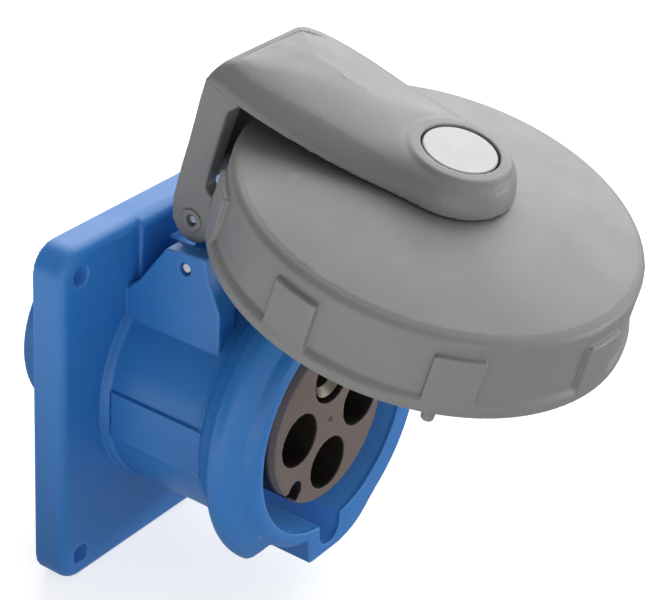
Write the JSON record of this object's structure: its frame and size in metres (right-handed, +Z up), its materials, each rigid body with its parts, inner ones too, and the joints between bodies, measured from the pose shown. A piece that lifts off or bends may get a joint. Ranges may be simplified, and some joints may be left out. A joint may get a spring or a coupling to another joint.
{
  "type": "flanged pin-and-sleeve receptacle",
  "caption": "Square-flanged watertight pin-and-sleeve receptacle with a keyed mouth, a contact insert and a spring-hinged bayonet cover on a yoke arm.",
  "frame": {"origin": "socket axis on the panel face of the flange", "axes": "socket faces -Y, +Z up towards the cover hinge, +X to the right seen from the front"},
  "size_m": [0.0994, 0.1505, 0.1411],
  "materials": {
    "blue_plastic": "moulded, fine satin texture",
    "grey_plastic": "moulded, fine matte texture",
    "brown_plastic": "moulded thermoset, matte",
    "black_plastic": "moulded thermoset, matte",
    "brass": "machined",
    "steel": "satin stainless",
    "rubber": "moulded elastomer"
  },
  "bodies": {
    "housing_body": {"housing": "blue_plastic", "panel_gasket": "rubber", "contact_insert": "brown_plastic", "insert_seal": "rubber", "contact_carrier": "black_plastic", "contact_l1": "brass", "contact_l2": "brass", "contact_l3": "brass", "contact_ground": "brass", "spring_bands": "steel", "terminal_screws": "steel", "carrier_screws": "steel", "anchor_pin": "steel", "torsion_springs": "steel"},
    "arm_body": {"arm": "grey_plastic", "hinge_pin": "steel", "pivot_pin": "steel", "wave_washer": "steel", "pivot_washer": "steel", "pivot_clip": "steel"},
    "cap_body": {"cap": "grey_plastic", "cap_gasket": "rubber", "pivot_oring": "rubber"}
  },
  "joints": [
    {"name": "cover_hinge", "type": "hinge", "parent": "housing_body", "child": "arm_body", "pos_m": [0, -0.0237, 0.05087], "axis": [-1, 0, 0], "range_deg": [-75.7, 28.8], "deforming": ["torsion_springs"]},
    {"name": "cap_turn", "type": "hinge", "parent": "arm_body", "child": "cap_body", "pos_m": [0, -0.0731, 0.03874], "axis": [0, 0.2385, -0.9711], "range_deg": [0, 40]}
  ]
}
